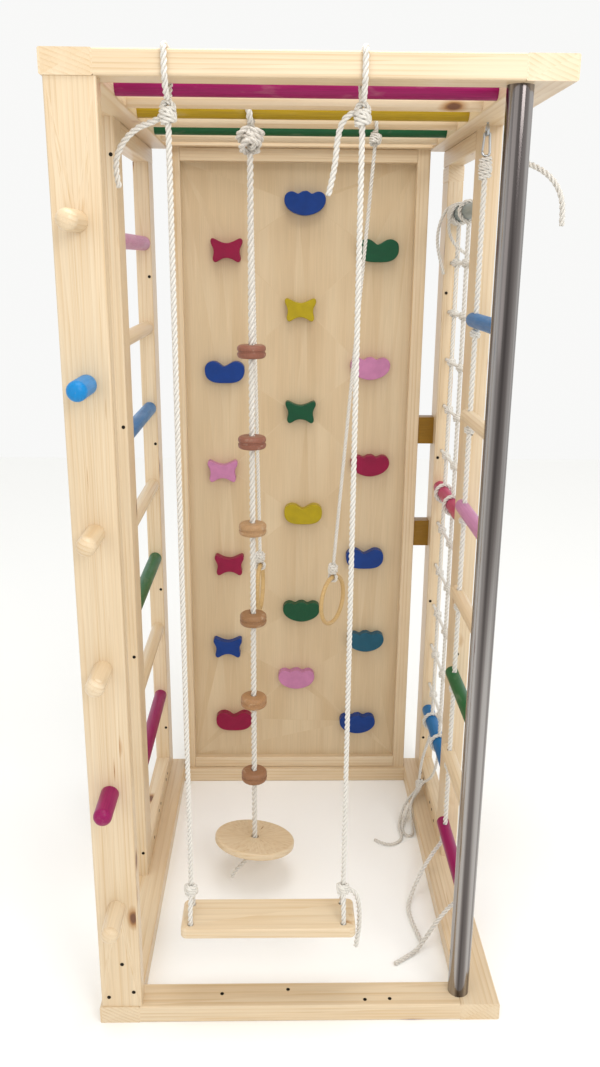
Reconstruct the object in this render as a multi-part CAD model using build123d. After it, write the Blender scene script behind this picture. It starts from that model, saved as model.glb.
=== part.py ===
from build123d import *
from math import cos, degrees, hypot, pi, radians, sin, tan
import os

os.makedirs("parts", exist_ok=True)

# A wooden play frame: a flat base and top joined by posts, with a climbing wall at the back, a ladder
# wall at the left, a net and a rope ladder at the right, and a swing, a disc rope and rings inside.
# Millimetres. X runs to the right, Y from the front to the back, Z up from the floor.
# Depths are given from the front plane of the frame and turned into Y by at().

# Overall size
width = 956
depth = 1140
height = 2106
peg_reach = 100

# Timber and bar stock
board_t = 45
side_w = 95
cross_w = 75
bar_d = 40
ease = 4
mortise = 25
fit = 0.05

# Heights of repeated pieces: first one and pitch
peg_z, peg_pitch = 322, 299
rung_z, rung_pitch = 342, 242
ladder_z, ladder_pitch = 172, 240
upper_cord_z, lower_cord_z, cord_pitch = 1182, 383, 141

# Depths of the posts and bars, from the front plane
left_post_v = 490
right_post_v = 575
bar_v, bar_step = 236, 150
swing_v = 37.5
disc_v = bar_v + 2 * bar_step
ring_v = bar_v + 3 * bar_step

front = (peg_reach - depth) / 2
back_v = depth - side_w
inner_x = width / 2 - side_w
post_x = width / 2 - 2 - board_t / 2
top_z = height - board_t
bar_z = height - board_t / 2


def at(v):
    """The Y of a depth measured from the front plane."""
    return front + v


def place(points):
    """Route points (x, depth, z) in the model's frame."""
    return [(x, at(v), z) for x, v, z in points]


def save(name, solids):
    """Write one node, a group of one or more separate solids."""
    flat = []
    for item in solids:
        flat += item.solids()
    export_step(Compound(children=flat), f"parts/{name}.step")


def box(x, v, z):
    """A block between pairs of limits; v is depth from the front plane."""
    size = (x[1] - x[0], v[1] - v[0], z[1] - z[0])
    return Pos((x[0] + x[1]) / 2, at((v[0] + v[1]) / 2), (z[0] + z[1]) / 2) * Box(*size)


def eased(block, *axes, radius=ease):
    """A board with its long edges taken off."""
    for axis in axes:
        block = fillet(block.edges().filter_by(axis), radius)
    return block


def rod(start, end, diameter):
    """A straight round bar between two points of the model's frame."""
    line = Vector(*end) - Vector(*start)
    return extrude(Plane(origin=start, z_dir=line) * Circle(diameter / 2), amount=line.length)


def ring(centre, normal, radius, thickness):
    """A round ring; radius is to the middle of its rod."""
    return Plane(origin=centre, z_dir=normal) * Torus(radius, thickness / 2)


def knot(centre, diameter, length, axis=(0, 0, 1)):
    """A knot as the rounded barrel that holds it."""
    barrel = fillet(Cylinder(diameter / 2, length).edges(), diameter * 0.3)
    return Plane(origin=centre, z_dir=axis) * barrel


def rope(name, points, diameter):
    """A free rope: straight runs joined by the largest arcs that the runs allow."""
    points = [Vector(*p) for p in place(points)]
    runs = [b - a for a, b in zip(points, points[1:])]
    radii = []
    for before, after in zip(runs, runs[1:]):
        half_turn = radians(before.get_angle(after)) / 2
        radii.append(0.45 * min(before.length, after.length) / tan(half_turn))
    path = FilletPolyline(*points, radius=radii)
    tube = sweep(Plane(origin=path @ 0, z_dir=path % 0) * Circle(diameter / 2), path=path)
    full = pi * diameter ** 2 / 4 * path.length
    print(f"{name}: {path.length:.0f} mm, radii", [round(r) for r in radii],
          f"volume {tube.volume / full:.4f} of section x length")
    return tube


# Base and top frames: side boards run the full depth, cross boards lie between them

def side_boards(z):
    boards = []
    for x in (-width / 2, width / 2 - side_w):
        boards.append(eased(box((x, x + side_w), (0, depth), (z, z + board_t)), Axis.Y))
    return boards


def cross_boards(z):
    boards = []
    for v in (0, depth - cross_w):
        boards.append(eased(box((-inner_x, inner_x), (v, v + cross_w), (z, z + board_t)), Axis.X))
    return boards


def monkey_bar(i):
    v = bar_v + i * bar_step
    reach = inner_x + mortise
    return rod((-reach, at(v), bar_z), (reach, at(v), bar_z), bar_d)


bars = [monkey_bar(i) for i in range(6)]
eye_depths = (250, 525)
eye_x = 428
shank_hole = [rod((eye_x, at(v), top_z - 1), (eye_x, at(v), top_z + 32), 6 + 2 * fit) for v in eye_depths]

top_sides = side_boards(top_z)
for side in range(2):
    for i in range(6):
        v = bar_v + i * bar_step
        reach = inner_x + mortise
        socket = rod((-reach, at(v), bar_z), (reach, at(v), bar_z), bar_d + 2 * fit)
        top_sides[side] = top_sides[side] - socket
for hole in shank_hole:
    top_sides[1] = top_sides[1] - hole

save("base_side_boards", side_boards(0))
save("base_cross_boards", cross_boards(0))
save("top_side_boards", top_sides)
save("top_cross_boards", cross_boards(top_z))
save("monkey_bars_natural", [bars[1], bars[3], bars[5]])
save("monkey_bar_magenta", [bars[0]])
save("monkey_bar_yellow", [bars[2]])
save("monkey_bar_green", [bars[4]])

# Front corner post with its climbing pegs, and the steel pole at the other corner
post_left = -width / 2 + 5
post_v = (3, 3 + board_t)
peg_x = post_left + side_w / 2
post = eased(box((post_left, post_left + side_w), post_v, (board_t, top_z)), Axis.Z)


def peg(i):
    z = peg_z + i * peg_pitch
    body = rod((peg_x, at(post_v[1]), z), (peg_x, at(-peg_reach), z), bar_d)
    return fillet(body.edges().sort_by(Axis.Y)[0], bar_d * 0.42)


for i in range(6):
    z = peg_z + i * peg_pitch
    post = post - rod((peg_x, at(post_v[1] + 1), z), (peg_x, at(0), z), bar_d + 2 * fit)

save("front_post", [post])
save("pegs_natural", [peg(i) for i in (0, 2, 3, 5)])
save("peg_magenta", [peg(1)])
save("peg_blue", [peg(4)])

pole_x, pole_v, pole_d, pole_wall = 385, 47, 50, 2
pole = rod((pole_x, at(pole_v), board_t), (pole_x, at(pole_v), top_z), pole_d)
pole = pole - rod((pole_x, at(pole_v), board_t), (pole_x, at(pole_v), top_z), pole_d - 2 * pole_wall)
save("steel_pole", [pole])

# Side walls: two uprights each, a rail under the top board and one on the base board
rail_t = board_t
lower_rail_h = 60
block_h = 45


def upright(side, v, top):
    x = side * post_x
    half = board_t / 2
    return eased(box((x - half, x + half), (v, v + side_w), (board_t, top)), Axis.Z)


def rail(side, v0, v1, z0, z1):
    x = side * post_x
    half = board_t / 2
    return eased(box((x - half, x + half), (v0, v1), (z0, z1)), Axis.Y)


def wall_bar(side, z, post_v):
    x = side * post_x
    return rod((x, at(post_v + side_w - mortise), z), (x, at(back_v + mortise), z), bar_d)


rail_z = top_z - rail_t
left_posts = [upright(-1, left_post_v, top_z), upright(-1, back_v, rail_z)]
right_posts = [upright(1, right_post_v, top_z), upright(1, back_v, rail_z - block_h)]

left_rungs = [wall_bar(-1, rung_z + i * rung_pitch, left_post_v) for i in range(7)]
net_bar_z = (1880, 1065, 285)
net_bars = [wall_bar(1, z, right_post_v) for z in net_bar_z]

for i in range(7):
    z = rung_z + i * rung_pitch
    x = -post_x
    socket = rod((x, at(left_post_v + side_w - mortise), z), (x, at(back_v + mortise), z), bar_d + 2 * fit)
    left_posts = [p - socket for p in left_posts]
for z in net_bar_z:
    x = post_x
    socket = rod((x, at(right_post_v + side_w - mortise), z), (x, at(back_v + mortise), z), bar_d + 2 * fit)
    right_posts = [p - socket for p in right_posts]

# Cross cords of the net: five above the middle bar and five below it, let into the uprights
net_cord_d, net_rope_d, cord_hole_depth = 10, 12, 20
cross_z = [upper_cord_z + i * cord_pitch for i in range(5)] + [lower_cord_z + i * cord_pitch for i in range(5)]
cord_ends = (right_post_v + side_w - cord_hole_depth, back_v + cord_hole_depth)
for z in cross_z:
    hole = rod((post_x, at(cord_ends[0]), z), (post_x, at(cord_ends[1]), z), net_cord_d + 1)
    right_posts = [p - hole for p in right_posts]

save("left_uprights", left_posts)
save("right_uprights", right_posts)
save("side_wall_rails", [
    rail(-1, left_post_v + side_w, depth, rail_z, top_z),
    rail(-1, left_post_v + side_w, back_v, board_t, board_t + lower_rail_h),
    rail(1, right_post_v + side_w, depth, rail_z, top_z),
    rail(1, right_post_v + side_w, back_v, board_t, board_t + lower_rail_h),
    rail(1, back_v, depth, rail_z - block_h, rail_z),
])
save("left_rungs_natural", [left_rungs[1], left_rungs[3], left_rungs[5]])
save("left_rung_magenta", [left_rungs[0]])
save("left_rung_green", [left_rungs[2]])
save("left_rung_blue", [left_rungs[4]])
save("left_rung_pink", [left_rungs[6]])
for colour, bar in zip(("grey", "red", "blue"), net_bars):
    save(f"net_bar_{colour}", [bar])

# Rope net: two side ropes looped round the bars, ten cross cords with a knot where they meet
net_rope_v = (820, 965)
wrap_r = bar_d / 2 + 0.3 + net_rope_d / 2
wrap_out = wrap_r + net_rope_d / 2 + 0.2
side_ropes = []
for v in net_rope_v:
    for z in net_bar_z:
        side_ropes.append(ring((post_x, at(v), z), (0, 1, 0), wrap_r, net_rope_d))
    for upper, lower in zip(net_bar_z, net_bar_z[1:]):
        side_ropes.append(rod((post_x, at(v), upper - wrap_out), (post_x, at(v), lower + wrap_out), net_rope_d))
extra_turns = []
for turn in (1, 2):
    for sign in (-1, 1):
        v = net_rope_v[1] + sign * turn * (net_rope_d + 0.5)
        extra_turns.append(ring((post_x, at(v), net_bar_z[0]), (0, 1, 0), wrap_r, net_rope_d))
save("net_side_ropes", side_ropes + extra_turns)

save("net_cross_cords", [
    rod((post_x, at(cord_ends[0]), z), (post_x, at(cord_ends[1]), z), net_cord_d) for z in cross_z
])
end_knot = knot((412, at(902), 90), 28, 32)
save("net_knots", [knot((post_x, at(v), z), 25, 30) for z in cross_z for v in net_rope_v] + [end_knot])

# Loose ends of the net: two at the upper bar, two below the lower bar that meet in one knot,
# one of them going back to it in a loop on the floor
net_end_routes = {
    "net upper end one": [(446, 1004, 1906), (424, 998, 1897), (408, 992, 1868), (399, 990, 1832),
                          (399, 990, 1800), (407, 991, 1762), (422, 992, 1714)],
    "net upper end two": [(438, 930, 1904), (422, 932, 1878), (418, 932, 1842), (430, 930, 1806),
                          (454, 925, 1782), (482, 918, 1764)],
    "net lower end": [(453.5, 965, 256), (446, 958, 222), (430, 944, 182), (417, 926, 140), (412, 908, 102),
                      (402, 886, 74), (376, 868, 60), (352, 844, 34), (338, 812, 9), (331, 772, 6),
                      (337, 738, 6), (329, 707, 6), (300, 685, 6), (268, 692, 6), (247, 714, 6)],
    "net lower loop": [(453.5, 820, 256), (452, 832, 205), (446, 848, 156), (436, 868, 124), (420, 888, 102),
                       (408, 880, 78), (386, 856, 62), (366, 830, 36), (350, 804, 12), (342, 776, 6),
                       (343, 746, 6), (351, 733, 6), (365, 733, 6), (373, 746, 6), (374, 776, 8), (373, 806, 26),
                       (374, 834, 52), (390, 862, 72), (412, 890, 86)],
}
save("net_rope_ends", [rope(name, route, net_cord_d) for name, route in net_end_routes.items()])

# Climbing wall: a framed plywood panel that stands on the back base board
wall_v = depth - cross_w + 18
panel_v = (wall_v + 22, wall_v + 37)
stile_w = 38
stile_x = inner_x - stile_w
wall_frame = [
    eased(box((-inner_x, -stile_x), (wall_v, depth), (board_t, top_z)), Axis.Z),
    eased(box((stile_x, inner_x), (wall_v, depth), (board_t, top_z)), Axis.Z),
    eased(box((-stile_x, stile_x), (wall_v, depth), (board_t, board_t + stile_w)), Axis.X),
    eased(box((-stile_x, stile_x), (wall_v, depth), (top_z - stile_w, top_z)), Axis.X),
]
panel = box((-stile_x, stile_x), panel_v, (board_t + stile_w, top_z - stile_w))
tie_z = (858, 1196)
tie_h = 84
ties = [eased(box((inner_x, post_x - board_t / 2), (wall_v + 5, wall_v + 50), (z, z + tie_h)), Axis.X, radius=2)
        for z in tie_z]
save("wall_frame", wall_frame)
save("wall_ties", ties)

# Climbing holds: sawn shapes with a flat back and eased front edge, screwed on from behind the panel
hold_t, hold_round = 28, 2.5
hold_screw_r, hold_screw_l, hold_screw_x = 2.5, 32, 20
holds = [
    ("blue", "three", 19, 1911), ("magenta", "star", -213, 1777), ("green", "two", 239, 1780),
    ("yellow", "star", 8, 1606), ("blue", "two", -224, 1418), ("pink", "three", 225, 1431),
    ("green", "star", 11, 1295), ("pink", "star", -235, 1105), ("magenta", "three", 233, 1125),
    ("yellow", "two", 22, 965), ("magenta", "star", -218, 791), ("blue", "two", 225, 814),
    ("green", "three", 19, 628), ("blue", "star", -227, 498), ("teal", "three", 236, 519),
    ("pink", "three", 4, 382), ("magenta", "two", -209, 224), ("blue", "three", 216, 212),
]


def hold_outline(kind):
    """Right half of the outline, top centre to bottom centre, mirrored to close it."""
    if kind == "three":
        half = [(10, 32), (20, 26.5), (32, 31), (44, 32), (55, 26), (61, 10), (56, -8), (42, -22), (22, -31)]
        middle = [(0, 34), (0, -34.5)]
    elif kind == "two":
        half = [(14, 24), (30, 32), (46, 30), (58, 20), (61, 4), (57, -14), (44, -27), (24, -33)]
        middle = [(0, 17), (0, -34)]
    else:
        half = [(14, 23), (30, 30), (44, 33), (47, 28), (41, 8), (39, -10), (41, -28), (36, -34), (24, -30), (12, -24)]
        middle = [(0, 20.5), (0, -22)]
    points = [middle[0]] + half + [middle[1]] + [(-x, z) for x, z in reversed(half)]
    return make_face(Spline(*points, periodic=True))


def hold_screw_axis(x, z, v0, v1, radius):
    return rod((x, at(v0), z), (x, at(v1), z), 2 * radius)


def hold(kind, x, z):
    face = Plane(origin=(x, at(panel_v[0]), z), x_dir=(1, 0, 0), z_dir=(0, -1, 0))
    body = extrude(face * hold_outline(kind), amount=hold_t)
    body = fillet(body.edges().group_by(Axis.Y)[0], hold_round)
    for dx in (-hold_screw_x, hold_screw_x):
        body = body - hold_screw_axis(x + dx, z, panel_v[0], panel_v[1] - hold_screw_l - 1, hold_screw_r + fit)
    return body


def hold_screw(x, z):
    """Pan-head screw from behind, through the panel and into the hold."""
    head = hold_screw_axis(x, z, panel_v[1], panel_v[1] + 4, 5.5)
    head = fillet(head.edges().sort_by(Axis.Y)[-1], 2.5)
    return head + hold_screw_axis(x, z, panel_v[1], panel_v[1] - hold_screw_l, hold_screw_r)


screw_spots = [(x + dx, z) for _, _, x, z in holds for dx in (-hold_screw_x, hold_screw_x)]
for x, z in screw_spots:
    panel = panel - hold_screw_axis(x, z, *panel_v, hold_screw_r + fit)
save("wall_panel", [panel])
for colour in ("blue", "magenta", "green", "yellow", "pink"):
    shades = (colour, "teal") if colour == "blue" else (colour,)
    save(f"holds_{colour}", [hold(kind, x, z) for c, kind, x, z in holds if c in shades])
save("hold_screws", [hold_screw(x, z) for x, z in screw_spots])

# Wood screws that hold the frame together: a dark domed head and a shank in the timber
screw_head_r, screw_shank_r, screw_l = 4.5, 2, 60
screws = [((x, v, board_t), (0, 0, -1), 38) for x, v in ((-190, 40), (-30, 52), (155, 18), (215, 20))]
for side in (-1, 1):
    inside = side * (post_x - board_t / 2)
    for v in (760, 800, 940, 980):
        screws.append(((inside, v, board_t + 38), (side, 0, 0), 40))
    screws.append(((inside, 640 if side < 0 else 720, board_t + 24), (side, 0, 0), 40))
for z in (90, 700, 1320, 1950):
    screws.append(((-post_x + 12, left_post_v, z + 30), (0, 1, 0), screw_l))
    screws.append(((post_x - 10, right_post_v, z), (0, 1, 0), screw_l))
for z in (120, 620, 1100, 1600):
    screws.append(((post_x - 12, back_v, z + 60), (0, 1, 0), screw_l))
    screws.append(((-post_x + 14, back_v, z + 100), (0, 1, 0), screw_l))
for x, z in ((-455, 72), (-396, 86), (-420, 166)):
    screws.append(((x, post_v[0], z), (0, 1, 0), 40))


def screw(point, inward, length):
    x, v, z = point
    start = Vector(x, at(v), z)
    way = Vector(*inward)
    head = rod(start - way * 0.6, start + way * 3, 2 * screw_head_r)
    return head + rod(start + way * 3, start + way * length, 2 * screw_shank_r)


save("frame_screws", [screw(*item) for item in screws])

# Swing: ropes looped over the top front board, a pivot at each knot, and a bridle under the seat
swing_d = 12
swing_x = (-257, 97)
swing_pivot_z = 2015
seat_x, seat_v, seat_z, seat_t = (-279, 125), (-17.5, 92.5), 252, 25
bridle_knot_z = 347
bridle_holes = (swing_v - 35, swing_v + 35)
pivot_r = 16


def board_loop(x):
    """Rope round the top front board, open at the pivot below it."""
    gap = swing_d / 2 + 0.3
    low, high = top_z - gap, height + gap
    reach = (pivot_r + 0.5) / hypot(1, 1)
    start = (x, at(swing_v - reach), swing_pivot_z + reach)
    end = (x, at(swing_v + reach), swing_pivot_z + reach)
    corners = [(x, at(-gap), low), (x, at(-gap), high), (x, at(cross_w + gap), high), (x, at(cross_w + gap), low)]
    path = FilletPolyline(start, *corners, end, radius=[12, ease + gap, ease + gap, 12])
    return sweep(Plane(origin=path @ 0, z_dir=path % 0) * Circle(swing_d / 2), path=path)


save("swing_hitches", [board_loop(x) for x in swing_x])

swing_routes = {
    "swing left end": [(-257, 37.5, 2015), (-272, 43, 1998), (-292, 50, 1991), (-314, 58, 1985),
                       (-338, 64, 1968), (-356, 69, 1944), (-363, 72, 1914), (-357, 74, 1880)],
    "swing right end": [(97, 37.5, 2015), (76, 43, 2011), (60, 47, 1996), (52, 50, 1966),
                        (50, 50, 1930), (44, 50, 1896), (37, 50, 1868)],
    "seat end": [(97, 37.5, 347), (116, 39, 343), (131, 41, 322), (137, 43, 288), (138, 43, 250),
                 (136, 43, 212), (131, 43, 178)],
}


def swing_rope(x, free_end):
    main = rod((x, at(swing_v), swing_pivot_z), (x, at(swing_v), bridle_knot_z + 14), swing_d)
    top_knot = Pos(x, at(swing_v), swing_pivot_z) * Sphere(pivot_r)
    lower_knot = knot((x, at(swing_v), swing_pivot_z - 26), 30, 44)
    return main + top_knot + lower_knot + rope(free_end, swing_routes[free_end], swing_d)


def bridle(x):
    """From the knot down through the front hole, under the seat and up through the back hole."""
    front_hole, back_hole = bridle_holes
    under = seat_z - swing_d
    points = [(x, swing_v - 4, bridle_knot_z), (x, front_hole, seat_z + seat_t + 22), (x, front_hole, under),
              (x, back_hole, under), (x, back_hole, seat_z + seat_t + 22), (x, swing_v + 4, bridle_knot_z)]
    path = FilletPolyline(*place(points), radius=[24, 12, 12, 24])
    return sweep(Plane(origin=path @ 0, z_dir=path % 0) * Circle(swing_d / 2), path=path)


bridles = [bridle(x) + knot((x, at(swing_v), bridle_knot_z), 32, 28) for x in swing_x]
bridles[1] = bridles[1] + rope("seat end", swing_routes["seat end"], swing_d)
seat = box(seat_x, seat_v, (seat_z, seat_z + seat_t))
seat = fillet(seat.edges().filter_by(Axis.Z), 14)
seat = fillet(seat.edges().group_by(Axis.Z)[-1] + seat.edges().group_by(Axis.Z)[0], 5)
for x in swing_x:
    for v in bridle_holes:
        seat = seat - rod((x, at(v), seat_z), (x, at(v), seat_z + seat_t), swing_d + 2)
save("swing_seat", [seat])
save("swing_rope_left", [swing_rope(swing_x[0], "swing left end")])
save("swing_rope_right", [swing_rope(swing_x[1], "swing right end")])
save("swing_bridles", bridles)

# Disc rope: hitched round the third bar, six grooved discs and a round seat near the floor
disc_x, disc_rope_d = -124, 16
disc_hitch_low = 1992
disc_z = (1533, 1305, 1075, 822, 578, 345)
disc_d, disc_t = 72, 33
round_seat_d, round_seat_t, round_seat_z = 230, 20, 132
end_knot_z = 101.3

hitch_r = bar_d / 2 + 0.3 + disc_rope_d / 2
hitch = ring((disc_x, at(disc_v), bar_z), (1, 0, 0), hitch_r, disc_rope_d)
hitch = hitch + knot((disc_x, at(disc_v), disc_hitch_low + 29), 56, 58)
save("disc_rope_hitch", [hitch])

disc_end = [(disc_x, disc_v, end_knot_z), (-136, 527, 88), (-150, 520, 74), (-167, 515, 58), (-182, 512, 42),
            (-190, 511, 22)]
disc_rope = rod((disc_x, at(disc_v), end_knot_z), (disc_x, at(disc_v), disc_hitch_low - 2), disc_rope_d)
disc_rope = disc_rope + Pos(disc_x, at(disc_v), end_knot_z) * Sphere(20)
disc_rope = disc_rope + rope("disc rope end", disc_end, disc_rope_d - 4)
save("disc_rope", [disc_rope])


def disc(z):
    """A turned disc with rounded rims and a groove round its middle."""
    half = disc_t / 2
    r = disc_d / 2
    body = fillet(Cylinder(r, disc_t).edges(), half * 0.55)
    body = body - Torus(r + 1, 3.5) - Cylinder(disc_rope_d / 2 + fit, disc_t)
    return Pos(disc_x, at(disc_v), z) * body


save("rope_discs", [disc(z) for z in disc_z])

seat_normal = Vector(0.109, 0.17, 1).normalized()
seat_plane = Plane(origin=(disc_x, at(disc_v), round_seat_z), z_dir=seat_normal)
round_seat = fillet(Cylinder(round_seat_d / 2, round_seat_t).edges(), 6) - Cylinder(12, round_seat_t)
save("round_seat", [seat_plane * round_seat])

# Gym rings: each hangs on a rope looped round the fourth bar
ring_rope_d, ring_rod_d = 10, 12


def gym_ring(centre, radius, turn):
    across = (cos(radians(turn)), sin(radians(turn)), 0)
    normal = (-across[1], across[0], 0)
    return ring((centre[0], at(ring_v), centre[1]), normal, radius, ring_rod_d)


def ring_rope(top_x, centre, radius, turn):
    """Loop round the bar, knot, straight rope, knot and the small loop that holds the ring."""
    along = (cos(radians(turn)), sin(radians(turn)), 0)
    y = at(ring_v)
    grip_z = centre[1] + radius
    loop_r = (ring_rod_d + ring_rope_d) / 2 + 0.6
    low_knot = (centre[0], y, grip_z + loop_r + 14)
    high_knot = (top_x, y, bar_z - bar_d / 2 - 22)
    pieces = [
        ring((top_x, y, bar_z), (1, 0, 0), bar_d / 2 + 0.3 + ring_rope_d / 2, ring_rope_d),
        knot(high_knot, 30, 34),
        rod(high_knot, low_knot, ring_rope_d),
        knot(low_knot, 28, 32),
        ring((centre[0], y, grip_z), along, loop_r, ring_rope_d),
    ]
    whole = pieces[0]
    for piece in pieces[1:]:
        whole = whole + piece
    return whole


left_ring = dict(centre=(-108, 860), radius=64, turn=84)
right_ring = dict(centre=(98, 820), radius=69, turn=60)
save("ring_left", [gym_ring(**left_ring)])
save("ring_right", [gym_ring(**right_ring)])
save("ring_rope_left", [ring_rope(-129, **left_ring)])
save("ring_rope_right", [ring_rope(183, **right_ring)])

# Rope ladder: eye screws under the right top board, snap hooks, two ropes and seven rungs
eye_rod, eye_r, hook_rod = 6, 11, 6
eye_z = top_z - 16
hang_z = eye_z - eye_r
hook_top_r, hook_low_r, hook_len = 6.4, 9, 36
gate_rod, gap = 5, 0.4
foot_z = hang_z - hook_len
nose_z = hang_z - 6.5
ladder_rope_d, ladder_rung_d = 14, 36
ladder_rung_v = (215, 565)
top_knot_z = hang_z - 72
lowest_z = ladder_z - ladder_rung_d / 2 - 13


def eye_screw(v):
    eye = ring((eye_x, at(v), eye_z), (1, 0, 0), eye_r, eye_rod)
    return eye + rod((eye_x, at(v), eye_z + eye_r), (eye_x, at(v), top_z + 30), eye_rod)


def hook_wire(v):
    """Snap hook without its gate: from the gate pin round the foot, up the back, over the nose."""
    low, high = foot_z - hook_low_r, hang_z + hook_top_r
    route = [(-hook_low_r, foot_z), (-hook_low_r, low), (hook_low_r, low), (hook_top_r, high),
             (-hook_top_r, high), (-hook_top_r, nose_z)]
    points = [(eye_x + x, at(v), z) for x, z in route]
    path = FilletPolyline(*points, radius=[8.9, 8.5, 5.9, 6.2])
    return sweep(Plane(origin=path @ 0, z_dir=path % 0) * Circle(hook_rod / 2), path=path)


def hook_gate(v):
    """Straight gate with a ball at its pin, closing the gap between foot and nose."""
    pin = (eye_x - hook_low_r, at(v), foot_z + gap + gate_rod / 2)
    return Pos(*pin) * Sphere(gate_rod / 2) + rod(pin, (eye_x - hook_top_r, at(v), nose_z - gap), gate_rod)


def ladder_rung(i):
    z = ladder_z + i * ladder_pitch
    body = rod((eye_x, at(ladder_rung_v[0]), z), (eye_x, at(ladder_rung_v[1]), z), ladder_rung_d)
    body = fillet(body.edges().filter_by(GeomType.CIRCLE), 5)
    for v in eye_depths:
        body = body - rod((eye_x, at(v), z - ladder_rung_d), (eye_x, at(v), z + ladder_rung_d), ladder_rope_d + 0.4)
    return body


ladder_routes = {
    "ladder upper end": [(428, 250, top_knot_z), (437, 236, 1952), (453, 215, 1944), (472, 193, 1932),
                         (492, 176, 1914), (508, 167, 1888), (516, 164, 1856), (515, 162, 1822)],
    "ladder far end": [(428, 525, lowest_z), (414, 516, 128), (394, 500, 112), (368, 478, 86), (344, 456, 52),
                       (326, 438, 20), (314, 410, 8), (310, 376, 7), (314, 338, 7), (321, 296, 7),
                       (329, 254, 7)],
    "ladder near end": [(428, 250, lowest_z), (421, 264, 130), (405, 272, 112), (383, 268, 86),
                        (358, 257, 57), (334, 243, 28), (311, 224, 8), (281, 202, 7), (247, 178, 7)],
}


def ladder_rope(v, ends):
    y = at(v)
    whole = rod((eye_x, y, top_knot_z), (eye_x, y, lowest_z), ladder_rope_d)
    for name in ends:
        whole = whole + rope(name, ladder_routes[name], ladder_rope_d - 2)
    return whole


save("ladder_eye_screws", [eye_screw(v) for v in eye_depths])
save("ladder_hooks", [hook_wire(v) for v in eye_depths])
save("hook_gate_near", [hook_gate(eye_depths[0])])
save("hook_gate_far", [hook_gate(eye_depths[1])])
save("ladder_rope_near", [ladder_rope(eye_depths[0], ("ladder upper end", "ladder near end"))])
save("ladder_rope_far", [ladder_rope(eye_depths[1], ("ladder far end",))])
save("ladder_rungs_natural", [ladder_rung(i) for i in (1, 3, 5)])
save("ladder_rungs_painted", [ladder_rung(i) for i in (0, 2, 4, 6)])
ladder_knots = [knot((eye_x, at(v), top_knot_z), 32, 58) for v in eye_depths]
for v in eye_depths:
    for i in range(7):
        ladder_knots.append(knot((eye_x, at(v), ladder_z + i * ladder_pitch - ladder_rung_d / 2 - 13.5), 24, 26))
save("ladder_knots", ladder_knots)
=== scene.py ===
import bpy
import math
import numpy as np
from mathutils import Matrix, Vector


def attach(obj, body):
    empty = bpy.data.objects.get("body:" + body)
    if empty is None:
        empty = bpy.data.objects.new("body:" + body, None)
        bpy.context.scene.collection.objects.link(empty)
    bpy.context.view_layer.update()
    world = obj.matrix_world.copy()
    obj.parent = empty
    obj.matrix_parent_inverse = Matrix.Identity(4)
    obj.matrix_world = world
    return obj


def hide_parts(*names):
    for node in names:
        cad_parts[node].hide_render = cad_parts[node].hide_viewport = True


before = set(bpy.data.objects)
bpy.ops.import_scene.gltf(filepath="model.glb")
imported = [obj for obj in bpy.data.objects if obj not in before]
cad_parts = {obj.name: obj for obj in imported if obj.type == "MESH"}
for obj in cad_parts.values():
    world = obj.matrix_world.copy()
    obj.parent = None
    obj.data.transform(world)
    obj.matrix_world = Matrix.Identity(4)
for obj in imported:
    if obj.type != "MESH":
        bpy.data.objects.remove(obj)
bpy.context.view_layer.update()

print("play frame: model loaded")

# camera, standing in front of the frame and looking slightly down on it
cameraSetup = {"lens": 31.19, "place": (-0.0513, -2.3135, 1.7549),
               "pan": -1.27, "tilt": -16.56, "roll": -0.49}


def turn(angle, axis):
    return Matrix.Rotation(math.radians(angle), 3, axis)


def placeCamera(setup):
    data = bpy.data.cameras.new("viewCamera")
    data.lens = setup["lens"]
    data.sensor_width = 36
    camera = bpy.data.objects.new("viewCamera", data)
    bpy.context.scene.collection.objects.link(camera)
    look = turn(setup["pan"], "Z") @ turn(setup["tilt"], "X") @ turn(setup["roll"], "Y")
    axes = Matrix((look.col[0], look.col[2], -look.col[1])).transposed()
    camera.matrix_world = Matrix.Translation(setup["place"]) @ axes.to_4x4()
    bpy.context.scene.camera = camera


placeCamera(cameraSetup)
print("play frame: camera placed")

# ropes: points are x, depth behind the front of the frame, height, in metres
frontOfFrame = -0.52
ropeSizes = {"swing": 0.012, "disc": 0.016, "discEnd": 0.012, "ring": 0.010, "ladder": 0.014,
             "ladderEnd": 0.012, "netSide": 0.012, "netCross": 0.010, "netEnd": 0.010}
ropeLook = {"lay": 3.1, "sides": 21, "strands": 3, "valley": 0.60, "step": 0.22, "cutEnd": 0.72}

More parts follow.
